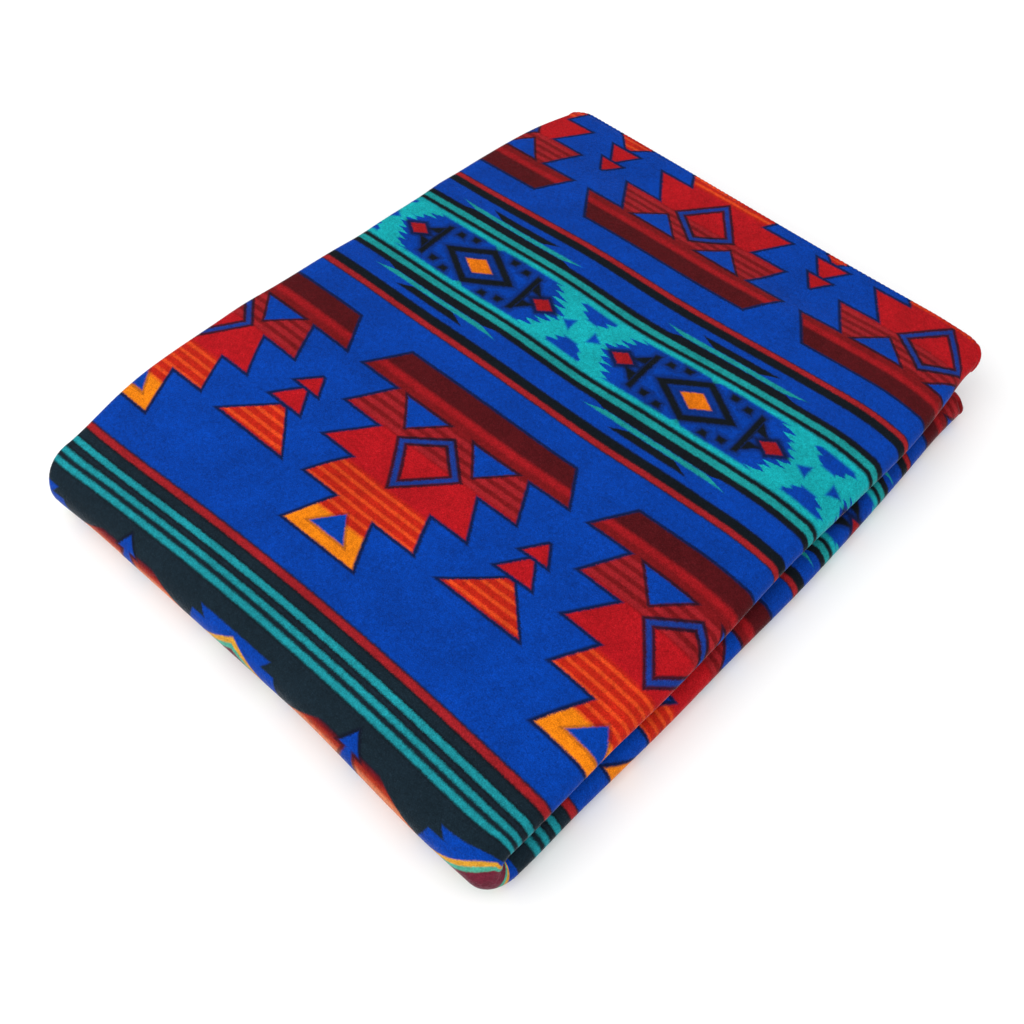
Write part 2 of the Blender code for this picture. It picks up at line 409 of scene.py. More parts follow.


# %% [markdown]
# ### Skins, edge and print map
# The two skins stand half a thickness each side of the middle line and meet in a rounded edge. The print
# map (UV) is in metres on the flat cloth: along the stripes it is the true length along the section, and
# across the stripes it is the way from the middle of the diamond band, over the half fold and on. So the
# print runs over every fold without a stretch. A small drift, given in a table, bends the printed lines, as
# cloth that was smoothed by hand shows.

# %% Print map
REPEAT = 0.165                  # one repeat along the stripes
DIAMOND_PLACE = (-0.0977, 0.0540)
DRIFT_ROWS = (
    # centre x, centre y, half length x, half length y, drift along the stripes, drift across them
    (-0.170, -0.185, 0.090, 0.060, 0.0, 0.0058),
    (0.165, -0.190, 0.080, 0.060, 0.0, 0.0044),
    (-0.010, -0.190, 0.080, 0.050, 0.0, -0.0003),
    (-0.055, 0.060, 0.030, 0.060, 0.0, -0.0014),
    (0.010, 0.055, 0.030, 0.060, 0.0, 0.0014),
    (0.075, 0.060, 0.040, 0.070, 0.0, -0.0012),
    (-0.165, 0.112, 0.060, 0.030, 0.0, 0.0013),
    (-0.030, 0.112, 0.070, 0.030, 0.0, -0.0011),
    (0.150, 0.115, 0.090, 0.030, 0.0, -0.0026),
    (0.130, 0.000, 0.080, 0.030, 0.0, 0.0022),
    (0.155, -0.080, 0.040, 0.040, 0.0, 0.0020),
    (-0.135, -0.105, 0.024, 0.050, -0.0042, 0.0),
    (-0.095, -0.100, 0.045, 0.060, -0.0022, 0.0),
    (-0.015, -0.140, 0.060, 0.050, -0.0094, 0.0),
    (0.160, -0.222, 0.016, 0.012, 0.0080, -0.0150),
    (0.150, -0.070, 0.050, 0.070, 0.0034, 0.0),
    (-0.100, 0.190, 0.060, 0.060, -0.0040, 0.0),
    (0.060, 0.195, 0.060, 0.060, -0.0026, 0.0),
)


def print_map(points):
    """UV in metres on the flat cloth, from the middle surface's points in rows and columns."""
    step = np.linalg.norm(np.diff(points, axis=1), axis=-1)
    run = np.concatenate((np.zeros((len(points), 1)), np.cumsum(step, axis=1)), axis=1)
    start = run[:, FIRST_TOP_STATION:FIRST_TOP_STATION + 1]
    start_x = points[:, FIRST_TOP_STATION:FIRST_TOP_STATION + 1, 0]
    along = start_x - DIAMOND_PLACE[0] - (run - start)
    x, y = points[..., 0], points[..., 1]
    axis_y = fold_axis(x)
    part, amount = ROWS[:, 0:1], ROWS[:, 1:2]
    turn = np.where(part == IN_FOLD, amount, 0.0)
    before_fold = DIAMOND_PLACE[1] - axis_y
    across = np.where(part == IN_UPPER, DIAMOND_PLACE[1] - y,
                      np.where(part == IN_FOLD, before_fold + MIDDLE_HEIGHT * (math.pi / 2 - turn),
                               before_fold + MIDDLE_HEIGHT * math.pi + (y - axis_y)))
    in_fold = 1.0 - ((1.0 - np.sin(turn)) / 2) ** 3
    on_top = np.where(part == IN_UPPER, 1.0, np.where(part == IN_FOLD, in_fold, 0.0))
    for centre_x, centre_y, half_x, half_y, drift_along, drift_across in DRIFT_ROWS:
        near = np.exp(-((x - centre_x) / half_x) ** 2 - ((y - centre_y) / half_y) ** 2)
        along = along - drift_along * near * on_top
        across = across - drift_across * near * on_top
    return np.stack((along, across), axis=-1)


# %% Build the sheet
def edge_thickness():
    """Share of the full thickness in each row, rounded off towards the two hems."""
    from_hem = np.minimum(ROWS[:, 2], EDGE_ROUND) / EDGE_ROUND
    return np.sqrt(np.maximum(0.0025, 1.0 - (1.0 - from_hem) ** 2))


def build_sheet():
    fraction, offset, level, way_x, way_level = (SECTION[:, column][None, :] for column in range(5))
    part, amount, from_hem = (ROWS[:, column][:, None] for column in range(3))
    thick = CLOTH_THICKNESS / 2 * edge_thickness()[:, None]
    skins = []
    for side in (1.0, -1.0):
        push = side * thick
        skins.append(place(fraction, offset + push * way_x, level + push * way_level, part, amount, from_hem))
    middle = (skins[0] + skins[1]) / 2
    uv = print_map(middle)
    rows, columns = middle.shape[:2]
    number = np.arange(rows * columns).reshape(rows, columns)
    corners = (number[:-1, :-1], number[:-1, 1:], number[1:, 1:], number[1:, :-1])
    printed = np.stack([corner.ravel() for corner in corners], axis=-1)
    reverse = printed[:, ::-1] + rows * columns
    faces = [printed, reverse]
    for column, flip in ((0, False), (columns - 1, True)):
        line = number[:, column]
        rim = np.stack((line[:-1], line[1:], line[1:] + rows * columns, line[:-1] + rows * columns), axis=-1)
        faces.append(rim[:, ::-1] if flip else rim)
    for row, flip in ((0, True), (rows - 1, False)):
        line = number[row]
        rim = np.stack((line[:-1], line[1:], line[1:] + rows * columns, line[:-1] + rows * columns), axis=-1)
        faces.append(rim[:, ::-1] if flip else rim)
    mesh = bpy.data.meshes.new("blanket_sheet")
    vertices = np.concatenate([skin.reshape(-1, 3) for skin in skins])
    mesh.from_pydata(vertices.tolist(), [], np.concatenate(faces).tolist())
    layer = mesh.uv_layers.new(name="cloth_metres")
    flat_uv = np.concatenate((uv.reshape(-1, 2), uv.reshape(-1, 2)))
    corner_vertices = np.empty(len(mesh.loops), dtype=np.int32)
    mesh.loops.foreach_get("vertex_index", corner_vertices)
    layer.data.foreach_set("uv", flat_uv[corner_vertices].ravel())
    side_value = np.concatenate((np.zeros(rows * columns), np.ones(rows * columns)))
    side_layer = mesh.attributes.new("reverse_side", "FLOAT", "POINT")
    side_layer.data.foreach_set("value", side_value)
    sheet = bpy.data.objects.new("blanket_sheet", mesh)
    bpy.context.scene.collection.objects.link(sheet)
    return sheet, middle, uv


blanket, MIDDLE, CLOTH_UV = build_sheet()
blanket.data.shade_smooth()


def face_outwards(piece):
    """Turn a closed mesh's faces outwards."""
    shell = bmesh.new()
    shell.from_mesh(piece.data)
    volume = shell.calc_volume(signed=True)
    closed = all(edge.is_manifold for edge in shell.edges)
    print(piece.name, "closed:", closed, "volume, litres:", round(abs(volume) * 1000, 3))
    if volume < 0:
        bmesh.ops.reverse_faces(shell, faces=shell.faces)
        shell.to_mesh(piece.data)
    shell.free()


face_outwards(blanket)

# %% [markdown]
# ### The overlocked edge
# A cut edge of fleece is sewn round with an overlock stitch: thread wraps the edge about every three and a
# half millimetres and pinches the cloth a little, so a straight edge shows soft, uneven ripples, and round
# a fold they vanish. It is a piece of its own here, a fine tube along all four sides of the cloth, because
# the sheet's own faces are too large for such small waves. Its print map is the sheet's, so the print runs
# out over the edge.

# %% Overlocked edge
STITCH_PITCH = 0.0034
STITCH_STEPS = 6
BEAD_HALF_THICKNESS = 0.00175
BEAD_REACH = 0.0019
BEAD_PINCH = 0.16
BEAD_SIDES = 8
UNEVEN_WAVES = ((97, 0.9, 0.0), (61, 0.7, 1.0))     # waves round the cloth, strength, start
TIGHT_WAVES, TIGHT_LEAST = 41, 0.5


def edge_loop():
    """Rows and columns of the sheet's points along the four sides of the cloth, in order round it."""
    ends = (0, len(ROWS) - 1)
    sides = (0, len(SECTION) - 1)
    lower = [(ends[0], column) for column in range(sides[0], sides[1])]
    far_side = [(row, sides[1]) for row in range(ends[0], ends[1])]
    upper = [(ends[1], column) for column in range(sides[1], sides[0], -1)]
    near_side = [(row, sides[0]) for row in range(ends[1], ends[0], -1)]
    return np.array(lower + far_side + upper + near_side)


def build_edge(middle, uv):
    order = edge_loop()
    rows, columns = order[:, 0], order[:, 1]
    line, cloth = middle[rows, columns], uv[rows, columns]
    station = SECTION[columns]
    part, amount, from_hem = ROWS[rows, 0], ROWS[rows, 1], ROWS[rows, 2]
    lifted = place(station[:, 0], station[:, 1] + 0.0005 * station[:, 3],
                   station[:, 2] + 0.0005 * station[:, 4], part, amount, from_hem)
    normal = lifted - line
    gap = np.linalg.norm(np.roll(line, -1, axis=0) - line, axis=1)
    keep = gap > 1e-6
    straight = np.where((station[:, 3] == 0.0) & (part != IN_FOLD), 1.0, 0.0)[:, None]
    line, normal, cloth, gap, straight = line[keep], normal[keep], cloth[keep], gap[keep], straight[keep]
    run = np.concatenate(([0.0], np.cumsum(gap)))
    stitches = round(run[-1] / STITCH_PITCH)
    count = stitches * STITCH_STEPS
    at = np.arange(count) * run[-1] / count

    def resample(values):
        closed = np.concatenate((values, values[:1]))
        return np.stack([np.interp(at, run, closed[:, column]) for column in range(values.shape[1])], axis=-1)

    line, normal, cloth = resample(line), resample(normal), resample(cloth)
    straight = resample(straight)[:, 0]
    normal /= np.linalg.norm(normal, axis=1)[:, None]
    heading = np.roll(line, -2, axis=0) - np.roll(line, 2, axis=0)
    heading /= np.linalg.norm(heading, axis=1)[:, None]
    outward = np.cross(heading, normal)
    outward /= np.linalg.norm(outward, axis=1)[:, None]
    turns = np.arange(count) / count * 2 * math.pi
    uneven = sum(strength * np.sin(waves * turns + start) for waves, strength, start in UNEVEN_WAVES)
    swing = (1.0 - TIGHT_LEAST) / 2
    tight = straight * (1.0 - swing + swing * np.sin(TIGHT_WAVES * turns + 0.5))
    wave = np.abs(np.sin(np.pi * np.arange(count) / STITCH_STEPS + 0.35 * uneven))
    swelling = 1.0 - BEAD_PINCH * tight * (1.0 - wave)
    angles = 2 * math.pi * np.arange(BEAD_SIDES) / BEAD_SIDES
    reach = BEAD_REACH * swelling[:, None] * np.cos(angles)[None, :]
    rise = BEAD_HALF_THICKNESS * swelling[:, None] * np.sin(angles)[None, :]
    ring = line[:, None, :] + outward[:, None, :] * reach[..., None] + normal[:, None, :] * rise[..., None]
    ring[..., 2] = np.maximum(ring[..., 2], 0.0)        # the lowest hem lies on the floor
    number = np.arange(count * BEAD_SIDES).reshape(count, BEAD_SIDES)
    ahead, beside = np.roll(number, -1, axis=0), np.roll(number, -1, axis=1)
    across = np.roll(ahead, -1, axis=1)
    faces = np.stack((number, beside, across, ahead), axis=-1).reshape(-1, 4)
    mesh = bpy.data.meshes.new("overlocked_edge")
    mesh.from_pydata(ring.reshape(-1, 3).tolist(), [], faces.tolist())
    layer = mesh.uv_layers.new(name="cloth_metres")
    corner_vertices = np.empty(len(mesh.loops), dtype=np.int32)
    mesh.loops.foreach_get("vertex_index", corner_vertices)
    layer.data.foreach_set("uv", np.repeat(cloth, BEAD_SIDES, axis=0)[corner_vertices].ravel())
    thread = mesh.attributes.new("thread_share", "FLOAT", "POINT")
    thread.data.foreach_set("value", np.repeat((1.0 - wave) * tight, BEAD_SIDES))
    bead = bpy.data.objects.new("overlocked_edge", mesh)
    bpy.context.scene.collection.objects.link(bead)
    return bead, run[-1], stitches


edge_bead, EDGE_LENGTH, STITCHES = build_edge(MIDDLE, CLOTH_UV)
edge_bead.data.shade_smooth()
face_outwards(edge_bead)
print("edge, m:", round(EDGE_LENGTH, 2), "stitches:", STITCHES, "faces:", len(edge_bead.data.polygons))

# %% [markdown]
# ## The print
# The pattern is a common south-western band print: a diamond band in the middle, stepped figures to each
# side, and striped borders. Everything is charted here in millimetres on the flat cloth, from the
# middle of the diamond band, and it mirrors at each half repeat. A shape is a stack of tapered blocks, and
# a block's distance field gives it a soft edge and the dark outline that the printed figures have.

# %% A tapered block as a node group
EDGE_BLUR_MM = 0.75
OUTLINE_MM = 2.4
HALO_MM = 4.2
OUTLINE_CORE_MM = 0.9           # the outline is at its darkest this far out
OUTLINE_INSET_MM = 0.35         # an outlined colour starts this far inside its shape
TAPER_SHARE = 0.85              # a tapered side is nearer than it measures across


def tapered_block_group():
    group = bpy.data.node_groups.new("tapered_block", "ShaderNodeTree")
    for name in ("Across", "Along", "Centre", "Start", "End", "Half at start", "Half at end"):
        group.interface.new_socket(name, in_out="INPUT", socket_type="NodeSocketFloat")
    group.interface.new_socket("Distance", in_out="OUTPUT", socket_type="NodeSocketFloat")
    given = group.nodes.new("NodeGroupInput").outputs
    offset = add(group, "ShaderNodeMath", {0: given["Across"], 1: given["Centre"]}, operation="SUBTRACT")
    reach = add(group, "ShaderNodeMath", {0: offset}, operation="ABSOLUTE")
    half = add(group, "ShaderNodeMapRange", {"Value": given["Along"], 1: given["Start"], 2: given["End"],
                                             3: given["Half at start"], 4: given["Half at end"]}, clamp=False)
    side = add(group, "ShaderNodeMath", {0: reach, 1: half}, operation="SUBTRACT")
    side = add(group, "ShaderNodeMath", {0: side, 1: TAPER_SHARE}, operation="MULTIPLY")
    before = add(group, "ShaderNodeMath", {0: given["Start"], 1: given["Along"]}, operation="SUBTRACT")
    after = add(group, "ShaderNodeMath", {0: given["Along"], 1: given["End"]}, operation="SUBTRACT")
    ends = add(group, "ShaderNodeMath", {0: before, 1: after}, operation="MAXIMUM")
    distance = add(group, "ShaderNodeMath", {0: side, 1: ends}, operation="MAXIMUM")
    result = group.nodes.new("NodeGroupOutput")
    group.links.new(distance, result.inputs[0])
    return group


BLOCK = tapered_block_group()


def blocks(tree, across, along, rows):
    """Distance to the nearest block of a list: centre, start, end, half width at the start and at the end."""
    nearest = None
    for centre, start, end, half_start, half_end in rows:
        distance = add(tree, "ShaderNodeGroup", node_tree=BLOCK)
        node = distance.node
        for name, value in (("Across", across), ("Along", along)):
            tree.links.new(value, node.inputs[name])
        for name, value in (("Centre", centre), ("Start", start), ("End", end),
                            ("Half at start", half_start), ("Half at end", half_end)):
            node.inputs[name].default_value = value
        if nearest is None:
            nearest = distance
        else:
            nearest = add(tree, "ShaderNodeMath", {0: nearest, 1: distance}, operation="MINIMUM")
    return nearest


def slanted(tree, across, along, across_share, along_share, reach):
    """Distance past a slanted line: across times its share plus along times its share, less reach."""
    length = math.hypot(across_share, along_share)
    part = add(tree, "ShaderNodeMath", {0: across, 1: across_share / length, 2: -reach / length},
               operation="MULTIPLY_ADD")
    return add(tree, "ShaderNodeMath", {0: along, 1: along_share / length, 2: part}, operation="MULTIPLY_ADD")


# %% Colours of the print
BLUE = "#003794"
BLACK = "#0B1117"
OUTLINE_BLUE = "#080C1E"
TEAL = "#0F999F"
LINE_TEAL = "#148586"
BORDER_TEAL = "#17838D"
# The border's black is BLACK painted lighter: painted light where the front of the stack faces the key lamp
LIT_BORDER_BLACK = "#122029"
RED = "#A21018"
LINE_RED = "#901A20"
DARK_RED = "#6E0F13"
MAROON = "#4A0C11"
BAR_RED = "#8E1218"
FIRE = "#AC1E0F"
FIRE_LIGHT = "#CA4018"
ORANGE = "#DC780C"
HEART_ORANGE = "#CC680A"
EMBER = "#9C2E18"
# Salmon is painted sheen: the front flames pale where the half fold turns down towards the bright floor
SALMON_FLOOR_SHEEN = "#C8724A"
GOLD = "#C68E2C"
GREEN_TEAL = "#479C84"
PLUM = "#651E30"
FRAME_BLUE = "#143280"


def paint(tree, below, distance, colour, outline=0.0, reach=OUTLINE_MM, blur=EDGE_BLUR_MM):
    """Lay a colour inside distance 0, over a dark outline of the given strength and reach."""
    inset = 0.0
    if outline:
        rim = add(tree, "ShaderNodeMapRange",
                  {"Value": distance, 1: reach, 2: OUTLINE_CORE_MM, 3: 0.0, 4: outline},
                  interpolation_type="SMOOTHSTEP")
        below = add(tree, "ShaderNodeMix", {0: rim, 6: below, 7: linear(OUTLINE_BLUE)},
                    data_type="RGBA").node.outputs[2]
        inset = -OUTLINE_INSET_MM
    inside = add(tree, "ShaderNodeMapRange",
                 {"Value": distance, 1: inset + blur, 2: inset - blur, 3: 0.0, 4: 1.0},
                 interpolation_type="SMOOTHSTEP")
    fill = linear(colour) if isinstance(colour, str) else colour
    return add(tree, "ShaderNodeMix", {0: inside, 6: below, 7: fill}, data_type="RGBA").node.outputs[2]


def banded(tree, along, first, last, ground, bands, edge=None, blur=EDGE_BLUR_MM):
    """A ramp across the stripes. Each band has its start in millimetres and its colour."""
    share = add(tree, "ShaderNodeMapRange", {"Value": along, 1: first, 2: last})
    ramp = add(tree, "ShaderNodeValToRGB", {0: share})
    stops = ramp.node.color_ramp.elements
    stops[0].position, stops[0].color = 0.0, linear(ground)
    stops[1].position, stops[1].color = 1.0, linear(bands[-1][1])
    colour_before = ground
    for start_mm, colour in bands:
        turns = [(-blur, colour_before), (blur, colour)]
        if edge:
            turns.insert(1, (0.0, edge))
        for shift, shade in turns:
            stop = stops.new((start_mm + shift - first) / (last - first))
            stop.color = linear(shade)
        colour_before = colour
    return ramp


def stripes(tree, along, period, crest, low, high):
    """A wave across the stripes with a crest at a given place: 0 between the crests and 1 on them."""
    phase = add(tree, "ShaderNodeMath", {0: along, 1: 2 * math.pi / period, 2: -2 * math.pi * crest / period},
                operation="MULTIPLY_ADD")
    wave = add(tree, "ShaderNodeMath", {0: phase}, operation="COSINE")
    return add(tree, "ShaderNodeMapRange", {"Value": wave, 1: low, 2: high}, interpolation_type="SMOOTHSTEP")


# %% [markdown]
# ### The chart
# Each table is one figure, a row for each block, in millimetres. Rows give the block's centre, where it
# starts and ends across the stripes, and its half width at both.

# %% Charted figures
HALF_REPEAT_MM = 82.5
MIRROR_MM = 295.0               # the print mirrors here, just past the crown of the half fold

STEPPED_FIGURE = (
    (0.0, 81.0, 105.0, 61.2, 75.2),
    (0.0, 102.0, 131.0, 46.2, 61.8),
    (0.0, 128.0, 156.0, 33.2, 51.4),
    (0.0, 153.0, 179.5, 26.3, 39.7),
    (0.0, 176.0, 207.2, 11.0, 26.0),
)
FIGURE_WINDOWS = ((25.0, 105.8, 122.8, 15.5, 0.2),)
FIGURE_EYE = ((0.0, 184.4, 200.0, 0.0, 13.4),)
TREE_FIGURE = (
    (0.0, 129.5, 141.0, 0.5, 8.2),
    (0.0, 142.5, 156.5, 1.5, 11.0),
    (0.0, 158.5, 181.5, 2.0, 24.6),
)
TEAL_NOTCH = ((0.0, 7.2, 15.0, 4.6, 0.0),)
FLAME_FOOT, FLAME_LEAN = 18.0, 0.75
HOLLOW_FOOT, HOLLOW_LEAN = 4.6, 0.85
FLAME_TOOTH_MM = 4.6
FLAME_TEETH = (4.0, -3.6)                   # reach of the flames' edge between the teeth and on them
HOLLOW_TEETH, HOLLOW_TEETH_SHIFT = (2.4, -1.6), 1.3
HOLLOW_START, HOLLOW_END = 9.0, 19.4
STREAK_MM, STREAK_REACH = (14.0, 2.6), 3.0  # uneven streaks: size along and across, and reach
BAND_LINE_START = 23.2
RING_DIAMOND, RING_INSET, RING_HALF = (27.0, 17.0), 1.7, 2.7
HEART_DIAMOND, RED_DIAMOND, RED_DIAMOND_PLACE = (11.4, 7.2), (8.0, 5.5), 51.0
FRAME_TOP, FRAME_BOTTOM, FRAME_HALF, FRAME_SLOPES = 110.5, 159.0, 23.5, (20.0, 29.0)
FRAME_INSET, FRAME_RING_HALF = 2.6, 1.7
CHEVRON_POINT, CHEVRON_SLOPE = 273.0, 1.5
DIAMOND_SPOTS = ((15.9, 13.0, 18.4, 2.6, 3.8), (26.5, 10.8, 16.2, 3.8, 2.6))
DIAMOND_GATES = ((0.0, 33.6, 38.6, 16.5, 15.5), (0.0, 37.4, 46.5, 13.5, 4.5))
GATE_SLIT = ((0.0, 39.2, 50.0, 3.4, 2.8),)
TEAL_BUMP = ((0.0, 17.3, 22.5, 0.0, 7.0), (0.0, 19.9, 23.4, 90.0, 90.0))
BROKEN_TEAL = ((0.0, 37.6, 40.8, 35.0, 47.5),)
BROKEN_BLACK = ((0.0, 33.0, 37.4, 50.0, 36.0), (0.0, 41.0, 46.2, 15.5, 27.0))
FRONT_FLAMES = ((0.0, 274.0, 292.0, 20.0, 50.0),)
FRONT_ARROWS = ((0.0, 265.0, 276.0, 0.0, 7.2), (0.0, 275.0, 291.0, 2.2, 6.5))
FRONT_STEPS = ((0.0, 270.0, 276.5, 25.0, 20.0), (0.0, 276.0, 297.0, 29.5, 36.0))
DIAMOND_BANDS = ((BAND_LINE_START, BLACK), (26.3, LINE_TEAL), (31.5, BLACK), (35.0, BLUE), (51.2, BLACK),
                 (56.7, LINE_RED), (61.3, BLUE))
# The border's black bands take the lighter black, as painted light
BORDER_BANDS = ((229.9, LINE_RED), (234.9, LIT_BORDER_BLACK), (240.8, BORDER_TEAL), (245.4, LIT_BORDER_BLACK),
                (248.6, BORDER_TEAL), (252.8, LIT_BORDER_BLACK), (254.7, BORDER_TEAL), (259.2, LIT_BORDER_BLACK))
FIGURE_TROUGHS = ((94.8, BAR_RED), (99.6, DARK_RED), (130.0, RED), (159.5, FIRE), (190.0, ORANGE))
FIGURE_CRESTS = ((94.8, BAR_RED), (99.6, DARK_RED), (105.5, LINE_RED), (130.0, RED), (159.5, FIRE_LIGHT),
                 (190.0, ORANGE))
# The flames run from dark red into ember, then salmon; the pale salmon on the fold's lower part is painted
# sheen from the floor
FLAME_BANDS = ((275.5, DARK_RED), (278.7, EMBER), (282.5, SALMON_FLOOR_SHEEN))
DARK_STRIPES = (6.15, 109.3, -0.8, 0.6)     # period, a crest, and where the wave is dark and light
FIRE_STRIPES = (5.55, 162.2, -0.25, 1.05)


# %% [markdown]
# ### Painting the chart
# The print is painted as a printer lays one screen over another: first the plain bands, then the red
# figures, then the diamond band, and last the bands that show on the half fold. Each function below takes
# the places on the cloth and the colour so far, and lays its own shapes on top.

# %% Bands and red figures
def plain_bands(tree, across):
    middle = banded(tree, across, 0.0, 150.0, BLUE, DIAMOND_BANDS, edge=BLACK, blur=0.95)
    border = banded(tree, across, 150.0, 300.0, BLUE, BORDER_BANDS, edge=BLACK, blur=1.1)
    outer = add(tree, "ShaderNodeMath", {0: across, 1: 150.0}, operation="GREATER_THAN")
    return add(tree, "ShaderNodeMix", {0: outer, 6: middle, 7: border}, data_type="RGBA").node.outputs[2]


def striped_reds(tree, across):
    """Red, from maroon above to orange below, with fine darker or lighter stripes."""
    low_part = add(tree, "ShaderNodeMath", {0: across, 1: 140.0}, operation="GREATER_THAN")
    wave = add(tree, "ShaderNodeMix", {0: low_part, 2: stripes(tree, across, *DARK_STRIPES),
                                       3: stripes(tree, across, *FIRE_STRIPES)}, data_type="FLOAT")
    troughs = banded(tree, across, 75.0, 225.0, MAROON, FIGURE_TROUGHS, blur=1.2)
    crests = banded(tree, across, 75.0, 225.0, MAROON, FIGURE_CRESTS, blur=1.2)
    return add(tree, "ShaderNodeMix", {0: wave, 6: troughs, 7: crests}, data_type="RGBA").node.outputs[2]


def ring_inside(tree, distance, inset, half_width):
    """A ring whose middle lies inside a shape's edge."""
    ring = add(tree, "ShaderNodeMath", {0: distance, 1: inset}, operation="ADD")
    ring = add(tree, "ShaderNodeMath", {0: ring}, operation="ABSOLUTE")
    return add(tree, "ShaderNodeMath", {0: ring, 1: half_width}, operation="SUBTRACT")


def red_figures(tree, colour, from_diamond, from_figure, across):
    reds = striped_reds(tree, across)
    colour = paint(tree, colour, blocks(tree, from_figure, across, STEPPED_FIGURE), reds, outline=0.85)
    colour = paint(tree, colour, blocks(tree, from_diamond, across, TREE_FIGURE), reds, outline=0.85)
    colour = paint(tree, colour, blocks(tree, from_figure, across, FIGURE_WINDOWS), BLUE, outline=0.85)
    colour = paint(tree, colour, blocks(tree, from_figure, across, FIGURE_EYE), BLUE, outline=0.4, reach=1.8)

    # The blue frame is a diamond that is longer below
    above = slanted(tree, from_figure, across, FRAME_SLOPES[0], -FRAME_HALF, -FRAME_HALF * FRAME_TOP)
    below = slanted(tree, from_figure, across, FRAME_SLOPES[1], FRAME_HALF, FRAME_HALF * FRAME_BOTTOM)
    frame_edge = add(tree, "ShaderNodeMath", {0: above, 1: below}, operation="MAXIMUM")
    frame_ring = ring_inside(tree, frame_edge, FRAME_INSET, FRAME_RING_HALF)
    return paint(tree, colour, frame_ring, FRAME_BLUE, outline=0.9)


# %% Teal flames with toothed edges
def teeth(tree, across, between, on):
    tooth = add(tree, "ShaderNodeMath", {0: across, 1: FLAME_TOOTH_MM / 2}, operation="PINGPONG")
    return add(tree, "ShaderNodeMapRange", {"Value": tooth, 1: 0.0, 2: FLAME_TOOTH_MM / 2, 3: between, 4: on})


def teal_flames(tree, place, from_diamond, from_figure, across):
    streak_place = add(tree, "ShaderNodeVectorMath",
                       {0: place, 1: (1 / STREAK_MM[0], 1 / STREAK_MM[1], 0.0)}, operation="MULTIPLY")
    streaks = add(tree, "ShaderNodeTexNoise", {"Vector": streak_place, "Scale": 1.0, "Detail": 1.0})
    streaks = add(tree, "ShaderNodeMapRange",
                  {"Value": streaks, 1: 0.25, 2: 0.75, 3: -STREAK_REACH, 4: STREAK_REACH})
    tooth = add(tree, "ShaderNodeMath", {0: teeth(tree, across, *FLAME_TEETH), 1: streaks}, operation="ADD")
    edge = add(tree, "ShaderNodeMath", {0: across, 1: FLAME_LEAN, 2: FLAME_FOOT}, operation="MULTIPLY_ADD")
    edge = add(tree, "ShaderNodeMath", {0: edge, 1: tooth}, operation="ADD")
    flames = add(tree, "ShaderNodeMath", {0: from_figure, 1: edge}, operation="SUBTRACT")
    band_edge = add(tree, "ShaderNodeMath", {0: across, 1: BAND_LINE_START}, operation="SUBTRACT")
    flames = add(tree, "ShaderNodeMath", {0: flames, 1: band_edge}, operation="MAXIMUM")

    # The blue hollow between two flames
    shifted = add(tree, "ShaderNodeMath", {0: across, 1: HOLLOW_TEETH_SHIFT}, operation="ADD")
    hollow = add(tree, "ShaderNodeMath", {0: across, 1: -HOLLOW_LEAN, 2: from_figure},
                 operation="MULTIPLY_ADD")
    hollow = add(tree, "ShaderNodeMath", {0: hollow, 1: HOLLOW_FOOT - HOLLOW_START * HOLLOW_LEAN},
                 operation="SUBTRACT")
    tooth = teeth(tree, shifted, *HOLLOW_TEETH)
    hollow = add(tree, "ShaderNodeMath", {0: hollow, 1: tooth}, operation="SUBTRACT")
    hollow = add(tree, "ShaderNodeMath", {0: streaks, 1: 0.5, 2: hollow}, operation="MULTIPLY_ADD")
    for limit in ({0: HOLLOW_START, 1: across}, {0: across, 1: HOLLOW_END}):
        past = add(tree, "ShaderNodeMath", limit, operation="SUBTRACT")
        hollow = add(tree, "ShaderNodeMath", {0: hollow, 1: past}, operation="MAXIMUM")
    notch = blocks(tree, across, from_figure, TEAL_NOTCH)
    hollow = add(tree, "ShaderNodeMath", {0: hollow, 1: notch}, operation="MINIMUM")
    hollow = add(tree, "ShaderNodeMath", {0: hollow, 1: -1.0}, operation="MULTIPLY")
    teal = add(tree, "ShaderNodeMath", {0: flames, 1: hollow}, operation="MAXIMUM")
    bump = blocks(tree, from_diamond, across, TEAL_BUMP)
    return add(tree, "ShaderNodeMath", {0: teal, 1: bump}, operation="MINIMUM")


# %% Diamonds, gates and spots
def diamond(tree, along_stripes, across, half_along, half_across):
    return slanted(tree, along_stripes, across, half_across, half_along, half_across * half_along)


